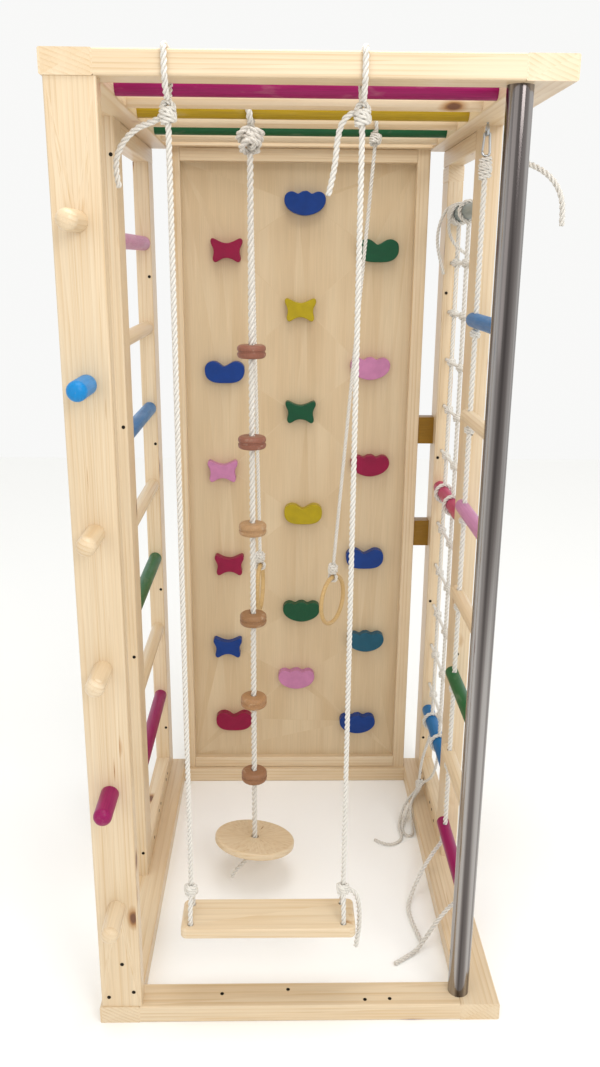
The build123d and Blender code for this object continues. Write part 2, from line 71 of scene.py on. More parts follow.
looseEnds = {
    "netUpperEndOne": [(0.446, 1.004, 1.906), (0.424, 0.998, 1.897), (0.408, 0.992, 1.868),
        (0.399, 0.99, 1.832), (0.399, 0.99, 1.8), (0.407, 0.991, 1.762), (0.422, 0.992, 1.714)],
    "netUpperEndTwo": [(0.438, 0.93, 1.904), (0.422, 0.932, 1.878), (0.418, 0.932, 1.842),
        (0.43, 0.93, 1.806), (0.454, 0.925, 1.782), (0.482, 0.918, 1.764)],
    "netLowerEnd": [(0.4535, 0.965, 0.256), (0.446, 0.958, 0.222), (0.43, 0.944, 0.182), (0.417, 0.926, 0.14),
        (0.412, 0.908, 0.102), (0.402, 0.886, 0.074), (0.376, 0.868, 0.06), (0.352, 0.844, 0.034),
        (0.338, 0.812, 0.009), (0.331, 0.772, 0.006), (0.337, 0.738, 0.006), (0.329, 0.707, 0.006),
        (0.3, 0.685, 0.006), (0.268, 0.692, 0.006), (0.247, 0.714, 0.006)],
    "netLowerLoop": [(0.4535, 0.82, 0.256), (0.452, 0.832, 0.205), (0.446, 0.848, 0.156),
        (0.436, 0.868, 0.124), (0.42, 0.888, 0.102), (0.408, 0.88, 0.078), (0.386, 0.856, 0.062),
        (0.366, 0.83, 0.036), (0.35, 0.804, 0.012), (0.342, 0.776, 0.006), (0.343, 0.746, 0.006),
        (0.351, 0.733, 0.006), (0.365, 0.733, 0.006), (0.373, 0.746, 0.006), (0.374, 0.776, 0.008),
        (0.373, 0.806, 0.026), (0.374, 0.834, 0.052), (0.39, 0.862, 0.072), (0.412, 0.89, 0.086)],
    "swingLeftEnd": [(-0.257, 0.0375, 2.015), (-0.272, 0.043, 1.998), (-0.292, 0.05, 1.991),
        (-0.314, 0.058, 1.985), (-0.338, 0.064, 1.968), (-0.356, 0.069, 1.944), (-0.363, 0.072, 1.914),
        (-0.357, 0.074, 1.88)],
    "swingRightEnd": [(0.097, 0.0375, 2.015), (0.076, 0.043, 2.011), (0.06, 0.047, 1.996),
        (0.052, 0.05, 1.966), (0.05, 0.05, 1.93), (0.044, 0.05, 1.896), (0.037, 0.05, 1.868)],
    "seatEnd": [(0.097, 0.0375, 0.347), (0.116, 0.039, 0.343), (0.131, 0.041, 0.322), (0.137, 0.043, 0.288),
        (0.138, 0.043, 0.25), (0.136, 0.043, 0.212), (0.131, 0.043, 0.178)],
    "ladderUpperEnd": [(0.428, 0.25, 1.962), (0.437, 0.236, 1.952), (0.453, 0.215, 1.944),
        (0.472, 0.193, 1.932), (0.492, 0.176, 1.914), (0.508, 0.167, 1.888), (0.516, 0.164, 1.856),
        (0.515, 0.162, 1.822)],
    "ladderFarEnd": [(0.428, 0.525, 0.141), (0.414, 0.516, 0.128), (0.394, 0.5, 0.112), (0.368, 0.478, 0.086),
        (0.344, 0.456, 0.052), (0.326, 0.438, 0.02), (0.314, 0.41, 0.008), (0.31, 0.376, 0.007),
        (0.314, 0.338, 0.007), (0.321, 0.296, 0.007), (0.329, 0.254, 0.007)],
    "ladderNearEnd": [(0.428, 0.25, 0.141), (0.421, 0.264, 0.13), (0.405, 0.272, 0.112),
        (0.383, 0.268, 0.086), (0.358, 0.257, 0.057), (0.334, 0.243, 0.028), (0.311, 0.224, 0.008),
        (0.281, 0.202, 0.007), (0.247, 0.178, 0.007)],
    "discRopeEnd": [(-0.124, 0.536, 0.1013), (-0.136, 0.527, 0.088), (-0.15, 0.52, 0.074),
        (-0.167, 0.515, 0.058), (-0.182, 0.512, 0.042), (-0.19, 0.511, 0.022)],
}


def inFrame(points):
    return [(x, frontOfFrame + depth, z) for x, depth, z in points]


def readLine(points):
    # the line of a smooth NURBS spline through the route, as vertices along it
    data = bpy.data.curves.new("route", "CURVE")
    data.dimensions = "3D"
    spline = data.splines.new("NURBS")
    spline.points.add(len(points) - 1)
    for point, place in zip(spline.points, points):
        point.co = (*place, 1)
    spline.order_u = min(3, len(points))
    spline.use_endpoint_u = True
    spline.resolution_u = 12
    guide = bpy.data.objects.new("route", data)
    mesh = bpy.data.meshes.new_from_object(guide)
    line = np.array([vertex.co for vertex in mesh.vertices])
    bpy.data.objects.remove(guide)
    bpy.data.meshes.remove(mesh)
    bpy.data.curves.remove(data)
    return line


def evenLine(line, step):
    # the same line with points an even step apart
    line = np.asarray(line, float)
    run = np.concatenate([[0], np.cumsum(np.linalg.norm(np.diff(line, axis=0), axis=1))])
    count = max(3, int(run[-1] / step) + 1)
    marks = np.linspace(0, run[-1], count)
    return np.stack([np.interp(marks, run, line[:, i]) for i in range(3)], axis=1), marks


def strandOutline(look):
    # three strands that press on each other, as a radius round the rope; each strand's centre and radius
    # are shares of the rope's own radius
    centre, strand = 0.536, 0.464
    around = np.arange(look["sides"]) / look["sides"] * 2 * math.pi
    width = 2 * math.pi / look["strands"]
    off = (around + width / 2) % width - width / 2
    reach = centre * np.cos(off) + np.sqrt(np.maximum(strand ** 2 - (centre * np.sin(off)) ** 2, 0))
    return around, np.maximum(reach, look["valley"])


def laidRope(name, lines, size, look=ropeLook):
    # one mesh of twisted rope along one or more lines
    around, reach = strandOutline(look)
    sides = len(around)
    verts, faces, uvs = [], [], []
    for line in lines:
        spots, marks = evenLine(line, size * look["step"])
        ahead = np.gradient(spots, axis=0)
        ahead /= np.linalg.norm(ahead, axis=1)[:, None]
        side = np.cross(ahead[0], (0.31, 0.52, 0.79))
        side /= np.linalg.norm(side)
        first = len(verts)
        for i, (spot, way, mark) in enumerate(zip(spots, ahead, marks)):
            side = side - way * side.dot(way)  # carried along without twisting
            side /= np.linalg.norm(side)
            other = np.cross(way, side)
            angle = around + mark / (size * look["lay"]) * 2 * math.pi
            end = look["cutEnd"] if i in (0, len(spots) - 1) else 1
            radius = reach * size / 2 * end
            ring = spot + np.outer(radius * np.cos(angle), side) + np.outer(radius * np.sin(angle), other)
            verts.extend(ring.tolist())
        for i in range(len(spots) - 1):
            for k in range(sides):
                a, b = first + i * sides + k, first + i * sides + (k + 1) % sides
                faces.append((a, b, b + sides, a + sides))
                low, high = marks[i] / size, marks[i + 1] / size
                left, right = k / sides, (k + 1) / sides
                uvs += [(low, left), (low, right), (high, right), (high, left)]
        for start, flip in ((first, True), (len(verts) - sides, False)):
            ends = list(range(start, start + sides))
            faces.append(tuple(reversed(ends)) if flip else tuple(ends))
            uvs += [(0, 0)] * sides
    mesh = bpy.data.meshes.new(name)
    mesh.from_pydata(verts, [], faces)
    layer = mesh.uv_layers.new(name="ropeMap")
    layer.data.foreach_set("uv", np.array(uvs, float).ravel())
    mesh.shade_smooth()
    piece = bpy.data.objects.new(name, mesh)
    bpy.context.scene.collection.objects.link(piece)
    ropePieces.append(piece)
    return piece


def wrap(centre, axis, radius, rise, turns, start=0.0, bulge=0.0):
    # turns of rope round an axis: a loop on a bar, or the coils of a knot
    axis = Vector(axis).normalized()
    side = axis.orthogonal().normalized()
    other = axis.cross(side)
    points = []
    for t in np.linspace(0, 1, int(turns * 26) + 2):
        angle = (start + t * turns) * 2 * math.pi
        out = radius + bulge * math.sin(math.pi * t)
        around = side * math.cos(angle) + other * math.sin(angle)
        points.append(Vector(centre) + axis * (rise * (t - 0.5)) + around * out)
    return points


def crossKnot(centre, axis, radius, height, size, start=0.0):
    # a tight knot: coils round the rope, closed by one slanting turn over them
    coils = wrap(centre, axis, radius, height - size, max(1.6, height / size), start, size * 0.12)
    lean = Vector(axis).normalized() + Vector(axis).orthogonal().normalized() * 0.9
    over = wrap(centre, lean, radius + size * 0.22, size * 0.3, 0.95, start + 0.3)
    return [coils, over]


ropePieces = []
loose = dict(stiffness="limp", far_end="bare")


def declareRope(piece, line, size, body, node=None, **facts):
    line = np.asarray(line, float)
    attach(piece, body)
    if node:
        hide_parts(node)
    words = dict(loose)
    words.update(facts)


def looseEnd(name, size, body, **facts):
    line = readLine(inFrame(looseEnds[name]))
    piece = laidRope(name, [line], size)
    declareRope(piece, line, size, body, **facts)
    return piece


def tightRope(name, top, low, size, body, node, **facts):
    line = evenLine([top, low], 0.02)[0]
    piece = laidRope(name, [line], size)
    declareRope(piece, line, size, body, node, lay="taut", **facts)
    return piece


def heldRope(name, lines, size, body, node):
    piece = laidRope(name, lines, size)
    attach(piece, body)
    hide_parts(node)
    return piece


# swing: both ropes go over the top front board, hang from a knot and end in a bridle at the seat
swingLayout = {"x": (-0.257, 0.097), "depth": 0.0375, "pivot": 2.015, "ropeTop": 1.995, "ropeLow": 0.358,
               "topKnot": 2.0035, "topKnotLength": 0.040, "topTurn": 2.016, "knot": 0.347,
               "knotLength": 0.030, "knotRadius": 0.0098}
bridleLayout = {"holes": 0.035, "top": 0.350, "shoulder": 0.322, "above": 0.296, "seatTop": 0.277,
                "seatLow": 0.252, "bend": 0.012}
boardLayout = {"low": 2.061, "high": 2.106, "depth": 0.075, "corner": 0.004, "legTop": 2.0405, "leg": 0.029,
               "foot": 0.0125, "footRise": 0.013, "gap": 0.0003}


def overBoard(x, size):
    # tight round the board: straight faces and rope arcs at the four edges
    board = boardLayout
    middle = swingLayout["depth"]
    footTop = swingLayout["pivot"] + board["footRise"]
    bend = board["corner"] + size / 2 + board["gap"]
    near, far = board["corner"], board["depth"] - board["corner"]
    low, high = board["low"] + board["corner"], board["high"] - board["corner"]
    points = [(x, middle - board["foot"], footTop), (x, middle - board["leg"], board["legTop"])]
    edges = ((near, low, 250, 180), (near, high, 180, 90), (far, high, 90, 0), (far, low, 0, -70))
    for depth, z, first, last in edges:
        for angle in np.radians(np.linspace(first, last, 8)):
            points.append((x, depth + bend * math.cos(angle), z + bend * math.sin(angle)))
    points += [(x, middle + board["leg"], board["legTop"]), (x, middle + board["foot"], footTop)]
    return inFrame(points)


def bridleLine(x):
    # down through the front hole, round under the seat and up through the back hole
    plan = bridleLayout
    depth, reach, bend, low = swingLayout["depth"], plan["holes"], plan["bend"], plan["seatLow"]
    half = [(0.003, plan["top"]), (0.024, plan["shoulder"]), (reach, plan["above"]), (reach, plan["seatTop"])]
    half += [(reach, low)]
    for turn in (0.4, 0.8, 1.2, 1.57):
        half.append((reach - bend * (1 - math.cos(turn)), low - bend * math.sin(turn)))
    points = [(x, depth - off, z) for off, z in half]
    points += [(x, depth + off, z) for off, z in reversed(half)]
    return inFrame(points)


size = ropeSizes["swing"]
heldRope("swingLoops", [overBoard(x, size) for x in swingLayout["x"]], size, "frame", "swing_hitches")
for side, x in zip(("left", "right"), swingLayout["x"]):
    heights = [swingLayout[key] for key in ("ropeTop", "ropeLow", "topKnot", "topTurn")]
    top, low, centre, turn = inFrame([(x, swingLayout["depth"], z) for z in heights])
    tightRope("swingRope" + side.title(), top, low, size, "swing", "swing_rope_" + side, far_end="knot")
    knots = crossKnot(centre, (0, 0, 1), swingLayout["knotRadius"], swingLayout["topKnotLength"], size, 0.1)
    knots += [wrap(turn, (0.35, 1, 0.2), 0.0095, 0.005, 1.1, 0.2)]
    heldRope("swingKnot" + side.title(), knots, size, "swing", "swing_rope_" + side)
for x in swingLayout["x"]:
    centre = inFrame([(x, swingLayout["depth"], swingLayout["knot"])])[0]
    lines = [bridleLine(x)]
    lines += crossKnot(centre, (0, 0, 1), swingLayout["knotRadius"], swingLayout["knotLength"], size, 0.4)
    heldRope("bridleLeft" if x < 0 else "bridleRight", lines, size, "swing", "swing_bridles")
looseEnd("swingLeftEnd", size, "swing", lay="hanging")
looseEnd("swingRightEnd", size, "swing", lay="hanging")
looseEnd("seatEnd", size, "swing", lay="hanging")

# disc rope: a hitch on the third bar, the rope through six discs, a stopper knot under the seat
discLayout = {"x": -0.124, "depth": 0.536, "bar": 2.0835, "barLoop": 0.0283, "hitch": 2.021, "cross": 2.022,
              "coil": 0.0185, "crossCoil": 0.0190, "ropeTop": 1.9905, "ropeLow": 0.106, "stopper": 0.1005,
              "stopperRadius": 0.0115, "stopperLength": 0.030}
size = ropeSizes["disc"]


def onDiscRope(z, aside=0.0):
    return inFrame([(discLayout["x"] + aside, discLayout["depth"], z)])[0]


lines = [wrap(onDiscRope(discLayout["bar"]), (1, 0, 0), discLayout["barLoop"], 0.018, 1.0, 0.0)]
for side in (-1, 1):
    centre = onDiscRope(discLayout["hitch"] + side * 0.003, side * 0.006)
    rise, turns = 0.040 - 0.012 * side, 2.2 + 0.2 * side
    lines += [wrap(centre, (0.3 * side, 0.25, 1), discLayout["coil"], rise, turns, 0.2 + 0.3 * side)]
lines += [wrap(onDiscRope(discLayout["cross"]), (1, 0.5, 0.25), discLayout["crossCoil"], 0.006, 1.05, 0.1)]
heldRope("discHitch", lines, size, "disc_hitch", "disc_rope_hitch")
top, low, centre = [onDiscRope(discLayout[key]) for key in ("ropeTop", "ropeLow", "stopper")]
tightRope("discRope", top, low, size, "disc_rope", "disc_rope", far_end="knot")
size = size * 0.8  # the stopper is pulled tight
lines = crossKnot(centre, (0.15, 0.1, 1), discLayout["stopperRadius"], discLayout["stopperLength"], size, 0.2)
heldRope("discStopper", lines, size, "disc_rope", "disc_rope")
looseEnd("discRopeEnd", ropeSizes["discEnd"], "disc_rope", lay="hanging")

# ring ropes: a loop and a knot at the fourth bar, a knot and a small loop that holds the ring
ringLayout = {"depth": 0.686, "bar": 2.0835, "topKnot": 2.0415, "ropeTop": 2.034, "knotAbove": 0.0256,
              "barLoop": 0.0253, "gripLoop": 0.0116,
              "left": {"top": -0.129, "x": -0.108, "grip": 0.924, "turn": 84},
              "right": {"top": 0.183, "x": 0.098, "grip": 0.889, "turn": 60}}
size = ropeSizes["ring"]
for side in ("left", "right"):
    plan = ringLayout[side]
    body = "ring_rope_" + side
    along = (math.cos(math.radians(plan["turn"])), math.sin(math.radians(plan["turn"])), 0)
    heights = [ringLayout[key] for key in ("bar", "topKnot", "ropeTop")]
    bar, top, high = inFrame([(plan["top"], ringLayout["depth"], z) for z in heights])
    heights = (plan["grip"] + ringLayout["knotAbove"], plan["grip"])
    low, grip = inFrame([(plan["x"], ringLayout["depth"], z) for z in heights])
    tightRope("ringRope" + side.title(), high, low, size, body, body, far_end="knot")
    lines = [wrap(bar, (1, 0, 0), ringLayout["barLoop"], 0.012, 1.0, 0.0)]
    lines += [wrap(grip, along, ringLayout["gripLoop"], 0.004, 1.0, 0.0)]
    lines += crossKnot(top, (0.2, 0.3, 1), 0.0098, 0.036, size, 0.0)
    lines += crossKnot(low, (0.1, -0.2, 1), 0.0090, 0.034, size, 0.3)
    heldRope("ringKnots" + side.title(), lines, size, body, body)

# rope ladder: a rope at each side, a knot below the hook and one under every rung
ladderLayout = {"x": 0.428, "depths": {"near": 0.250, "far": 0.525}, "ropeTop": 1.945, "ropeLow": 0.141,
                "knot": 1.962, "rung": 0.172, "pitch": 0.240, "knotUnder": 0.0315, "rungs": 7}
# a knot's turns are laid a little thinner than the rope, because they are pulled tight
knotSizes = {"top": 0.0118, "rung": 0.0105, "drawn": 0.0112}
x = ladderLayout["x"]
for side, depth in ladderLayout["depths"].items():
    heights = [ladderLayout[key] for key in ("ropeTop", "ropeLow", "knot")]
    top, low, centre = inFrame([(x, depth, z) for z in heights])
    tightRope("ladderRope" + side.title(), top, low, ropeSizes["ladder"], "rope_ladder",
              "ladder_rope_" + side, far_end="knot")
    lines = crossKnot(centre, (0, 0, 1), 0.0098, 0.058, knotSizes["top"], 0.1)
    for i in range(ladderLayout["rungs"]):
        below = ladderLayout["rung"] + i * ladderLayout["pitch"] - ladderLayout["knotUnder"]
        centre = inFrame([(x, depth, below)])[0]
        lines += crossKnot(centre, (0, 0, 1), 0.0068, 0.025, knotSizes["rung"], 0.13 * i)
    heldRope("ladderKnots" + side.title(), lines, knotSizes["drawn"], "rope_ladder", "ladder_knots")
looseEnd("ladderUpperEnd", ropeSizes["ladderEnd"], "rope_ladder", lay="hanging")
looseEnd("ladderFarEnd", ropeSizes["ladderEnd"], "rope_ladder")
looseEnd("ladderNearEnd", ropeSizes["ladderEnd"], "rope_ladder")

# net: side ropes looped round three bars, cross cords let into the uprights, knots where they meet
netLayout = {"x": 0.4535, "bars": (1.880, 1.065, 0.285), "depths": (0.820, 0.965), "ends": (0.650, 1.065),
             "upper": 1.182, "lower": 0.383, "pitch": 0.141, "cords": 5, "wrap": 0.0263, "extraTurns": 0.0188,
             "endKnot": (0.412, 0.902, 0.090), "knotSize": 0.0095, "endKnotSize": 0.0100, "drawn": 0.0098}
x = netLayout["x"]
lines = []
for depth in netLayout["depths"]:
    for z in netLayout["bars"]:
        centre = inFrame([(x, depth, z)])[0]
        lines.append(wrap(centre, (0, 1, 0), netLayout["wrap"], 0.011, 1.0, 0.25))
    for high, low in zip(netLayout["bars"], netLayout["bars"][1:]):
        lines.append(inFrame([(x, depth, high - netLayout["wrap"]), (x, depth, low + netLayout["wrap"])]))
for sign in (-1, 1):
    centre = inFrame([(x, netLayout["depths"][1] + sign * netLayout["extraTurns"], netLayout["bars"][0])])[0]
    lines.append(wrap(centre, (0, 1, 0), netLayout["wrap"], 0.0248, 2.0, 0.25))
heldRope("netSideRopes", lines, ropeSizes["netSide"], "frame", "net_side_ropes")
crossHeights = [base + i * netLayout["pitch"] for base in (netLayout["upper"], netLayout["lower"])
                for i in range(netLayout["cords"])]
near, far = netLayout["ends"]
lines = [inFrame([(x, near, z), (x, far, z)]) for z in crossHeights]
heldRope("netCrossCords", lines, ropeSizes["netCross"], "frame", "net_cross_cords")
lines = []
for i, z in enumerate(crossHeights):
    for depth in netLayout["depths"]:
        centre = inFrame([(x, depth, z)])[0]
        lines += crossKnot(centre, (0.1, 0.25, 1), 0.0078, 0.026, netLayout["knotSize"], 0.21 * i)
centre = inFrame([netLayout["endKnot"]])[0]
lines += crossKnot(centre, (0.2, 0.3, 1), 0.0085, 0.030, netLayout["endKnotSize"], 0.1)
heldRope("netKnots", lines, netLayout["drawn"], "frame", "net_knots")
size = ropeSizes["netEnd"]
for name, lay in (("netUpperEndOne", "hanging"), ("netUpperEndTwo", "hanging"), ("netLowerEnd", "loose")):
    looseEnd(name, size, "frame", node="net_rope_ends", lay=lay)
looseEnd("netLowerLoop", size, "frame", node="net_rope_ends", far_end="knot")
print("play frame: ropes and knots made,", len(ropePieces), "pieces")

# materials


def toLinear(code):
    # sRGB hex to the linear colour that shaders use
    parts = [int(code[i:i + 2], 16) / 255 for i in (1, 3, 5)]
    return tuple(c / 12.92 if c <= 0.04045 else ((c + 0.055) / 1.055) ** 2.4 for c in parts) + (1,)


def addNode(tree, kind, settings=None, **links):
    # a node with its settings, and its inputs by name (or i0, i1... by number) as values or links
    node = tree.nodes.new("ShaderNode" + kind)
    for key, value in (settings or {}).items():
        setattr(node, key, value)
    for key, value in links.items():
        socket = node.inputs[int(key[1:])] if key[1:].isdigit() else node.inputs[key.replace("_", " ")]
        if isinstance(value, bpy.types.NodeSocket):
            tree.links.new(value, socket)
        else:
            socket.default_value = value
    return node


def fillRamp(node, stops):
    ramp = node.color_ramp
    while len(ramp.elements) < len(stops):
        ramp.elements.new(0.5)
    for element, (place, colour) in zip(ramp.elements, stops):
        element.position = place
        element.color = toLinear(colour) if isinstance(colour, str) else (colour, colour, colour, 1)
    return node.outputs[0]


def newMaterial(name):
    material = bpy.data.materials.new(name)
    material.use_nodes = True
    tree = material.node_tree
    tree.nodes.clear()
    shader = addNode(tree, "BsdfPrincipled")
    addNode(tree, "OutputMaterial", Surface=shader.outputs[0])
    return material, tree, shader


def grainSpace(tree, axis, stretch):
    # position with the grain direction squeezed, and each board cut from another place
    place = addNode(tree, "TexCoord").outputs["Object"]
    island = addNode(tree, "NewGeometry").outputs["Random Per Island"]
    shift = addNode(tree, "VectorMath", {"operation": "SCALE"}, i0=(3.7, 2.9, 5.3), Scale=island).outputs[0]
    moved = addNode(tree, "VectorMath", {"operation": "ADD"}, i0=place, i1=shift).outputs[0]
    parts = addNode(tree, "SeparateXYZ", i0=moved).outputs
    order = {"X": (1, 2, 0), "Y": (0, 2, 1), "Z": (0, 1, 2)}[axis]
    long = addNode(tree, "Math", {"operation": "MULTIPLY"}, i0=parts[order[2]], i1=stretch).outputs[0]
    return addNode(tree, "CombineXYZ", i0=parts[order[0]], i1=parts[order[1]], i2=long).outputs[0]


def scaled(tree, vector, factors):
    return addNode(tree, "VectorMath", {"operation": "MULTIPLY"}, i0=vector, i1=factors).outputs[0]


def mixColour(tree, factor, first, second, blend="MIX"):
    settings = {"data_type": "RGBA", "blend_type": blend}
    return addNode(tree, "Mix", settings, i0=factor, i6=first, i7=second).outputs[2]


def mathNode(tree, operation, first, second=None, third=None):
    values = {"i0": first, "i1": second, "i2": third}
    values = {key: value for key, value in values.items() if value is not None}
    return addNode(tree, "Math", {"operation": operation}, **values).outputs[0]


def noise(tree, vector, scale=1.0, detail=2.0):
    return addNode(tree, "TexNoise", Vector=vector, Scale=scale, Detail=detail).outputs["Fac"]


def mapped(tree, value, fromLow, fromHigh, toLow, toHigh):
    return addNode(tree, "MapRange", i0=value, i1=fromLow, i2=fromHigh, i3=toLow, i4=toHigh).outputs[0]


def ramped(tree, value, stops):
    return fillRamp(addNode(tree, "ValToRGB", Fac=value), stops)


# planed pine, oiled: cream early wood, thin honey late wood lines about 5 mm apart, a few brown knots
pineLook = {"early": "#DFCBAC", "late": "#BE9863", "warm": "#D0B083", "knot": "#6B3F1E",
            "knotEdge": "#A97A45",
            "ringSpacing": 0.0085, "wander": 16.0, "contrast": 0.62, "rough": 0.38, "knots": 1.0}
# birch faced plywood, sanded: wide pale cathedral figure with little contrast
plyLook = {"early": "#D3BD9A", "late": "#C3A57E", "warm": "#BD9E73", "knot": "#B98A52",
           "knotEdge": "#D6B076",
           "ringSpacing": 0.045, "wander": 9.0, "contrast": 0.35, "rough": 0.42, "knots": 0.0}


grain = {"stretch": 0.05, "stileEdge": 0.3449, "knotEdge": (0.075, 0.135), "knotHeart": (0.058, 0.085)}


def timber(name, axis, look, mixedAxis=None):
    material, tree, shader = newMaterial(name)
    space = grainSpace(tree, axis, grain["stretch"])
    if mixedAxis:
        # stiles and rails in one node: rails lie between the stiles
        other = grainSpace(tree, mixedAxis, grain["stretch"])
        x = addNode(tree, "SeparateXYZ", i0=addNode(tree, "TexCoord").outputs["Object"]).outputs[0]
        inside = mathNode(tree, "LESS_THAN", mathNode(tree, "ABSOLUTE", x), grain["stileEdge"])
        space = addNode(tree, "Mix", {"data_type": "VECTOR"}, i0=inside, i4=space, i5=other).outputs[1]
    scale = 2 * math.pi / (20 * look["ringSpacing"])
    pith = addNode(tree, "VectorMath", {"operation": "ADD"}, i0=space, i1=(0.11, 0.07, 0)).outputs[0]
    settings = {"wave_type": "RINGS", "rings_direction": "Z", "wave_profile": "SAW"}
    rings = addNode(tree, "TexWave", settings, Vector=pith, Scale=scale, Distortion=look["wander"],
                    Detail=2.0, Detail_Scale=0.045, Detail_Roughness=0.5).outputs["Fac"]
    line = ramped(tree, rings, [(0.0, 0.05), (0.45, 0.15), (0.80, 0.7), (0.90, 1.0), (1.0, 0.05)])
    # rings are strong in some places and fade out in others
    patchy = noise(tree, scaled(tree, space, (26, 26, 60)), detail=1.0)
    patchy = mapped(tree, patchy, 0.35, 0.65, 0.25 * look["contrast"], look["contrast"])
    line = mathNode(tree, "MULTIPLY", line, patchy)
    fibre = noise(tree, scaled(tree, space, (420, 420, 160)), detail=3.0)
    broad = noise(tree, scaled(tree, space, (9, 9, 30)), detail=2.0)
    colour = mixColour(tree, line, toLinear(look["early"]), toLinear(look["late"]))
    colour = mixColour(tree, ramped(tree, broad, [(0.35, 0.0), (0.75, 0.55)]), colour, toLinear(look["warm"]))
    colour = mixColour(tree, 1.0, colour, ramped(tree, fibre, [(0.3, 0.90), (0.7, 1.0)]), "MULTIPLY")
    if look["knots"]:
        spots = addNode(tree, "TexVoronoi", {"feature": "F1"}, Vector=scaled(tree, space, (6.5, 6.5, 62)),
                        Scale=1.0, Randomness=1.0).outputs["Distance"]
        wobble = noise(tree, scaled(tree, space, (60, 60, 400)))
        spots = mathNode(tree, "MULTIPLY_ADD", wobble, 0.045, spots)
        for part, code in (("knotEdge", look["knotEdge"]), ("knotHeart", look["knot"])):
            full, none = grain[part]
            colour = mixColour(tree, ramped(tree, spots, [(full, 1.0), (none, 0.0)]), colour, toLinear(code))
    tree.links.new(colour, shader.inputs["Base Color"])
    rough = mapped(tree, fibre, 0.3, 0.7, look["rough"] - 0.05, look["rough"] + 0.07)
    tree.links.new(rough, shader.inputs["Roughness"])
    height = mathNode(tree, "MULTIPLY_ADD", line, 0.6, fibre)
    bump = addNode(tree, "Bump", Strength=0.22, Distance=0.0004, Height=height).outputs[0]
    tree.links.new(bump, shader.inputs["Normal"])
    shader.inputs["IOR"].default_value = 1.5
    shader.inputs["Coat Weight"].default_value = 0.12
    shader.inputs["Coat Roughness"].default_value = 0.3
    return material


# heights of colour bands are given as shares of this height
bandsHeight = 2.0


# satin water paint on turned dowels: even colour, the grain just shows through, a little paler in places
def paintedWood(name, axis, code, bands=None, rubbed=0.10):
    material, tree, shader = newMaterial(name)
    space = grainSpace(tree, axis, grain["stretch"])
    colour = toLinear(code)
    if bands:
        z = addNode(tree, "SeparateXYZ", i0=addNode(tree, "TexCoord").outputs["Object"]).outputs[2]
        share = mathNode(tree, "DIVIDE", z, bandsHeight)
        ramp = addNode(tree, "ValToRGB", Fac=share)
        ramp.color_ramp.interpolation = "CONSTANT"
        colour = fillRamp(ramp, bands)
    fibre = noise(tree, scaled(tree, space, (700, 700, 260)), detail=3.0)
    patches = noise(tree, scaled(tree, space, (45, 45, 300)), detail=4.0)
    shade = ramped(tree, fibre, [(0.30, 0.74), (0.58, 1.0)])
    colour = mixColour(tree, 1.0, colour, shade, "MULTIPLY")
    worn = mathNode(tree, "MULTIPLY", ramped(tree, patches, [(0.60, 0.0), (0.78, 1.0)]), rubbed)
    colour = mixColour(tree, worn, colour, toLinear("#E9DCC4"))
    tree.links.new(colour, shader.inputs["Base Color"])
    rough = mapped(tree, patches, 0.3, 0.7, 0.30, 0.46)
    tree.links.new(rough, shader.inputs["Roughness"])
    bump = addNode(tree, "Bump", Strength=0.25, Distance=0.0003, Height=fibre).outputs[0]
    tree.links.new(bump, shader.inputs["Normal"])
    shader.inputs["IOR"].default_value = 1.5
    shader.inputs["Specular IOR Level"].default_value = 0.3
    return material


# sawn and sanded wooden holds in satin paint: solid colour, faintly orange-peeled, with soft edges
def paintedHold(name, code, patch=None):
    material, tree, shader = newMaterial(name)
    place = addNode(tree, "TexCoord").outputs["Object"]
    colour = toLinear(code)
    if patch:
        parts = addNode(tree, "SeparateXYZ", i0=place).outputs
        right = mathNode(tree, "GREATER_THAN", parts[0], patch["x"])
        off = mathNode(tree, "SUBTRACT", parts[2], patch["z"])
        level = mathNode(tree, "LESS_THAN", mathNode(tree, "ABSOLUTE", off), 0.08)
        colour = mixColour(tree, mathNode(tree, "MULTIPLY", right, level), colour, toLinear(patch["colour"]))
    sand = noise(tree, place, 520.0)  # peel near 2 mm
    shade = ramped(tree, noise(tree, place, 38.0, 3.0), [(0.3, 0.84), (0.7, 1.0)])
    colour = mixColour(tree, 1.0, colour, shade, "MULTIPLY")
    chalk = ramped(tree, sand, [(0.66, 0.0), (0.85, 0.06)])
    colour = mixColour(tree, chalk, colour, toLinear("#F2F2F0"))
    tree.links.new(colour, shader.inputs["Base Color"])
    rough = mapped(tree, sand, 0.3, 0.7, 0.30, 0.42)
    tree.links.new(rough, shader.inputs["Roughness"])
    bump = addNode(tree, "Bump", Strength=0.15, Distance=0.0004, Height=sand).outputs[0]
    tree.links.new(bump, shader.inputs["Normal"])
    shader.inputs["IOR"].default_value = 1.5
    shader.inputs["Specular IOR Level"].default_value = 0.3
    return material


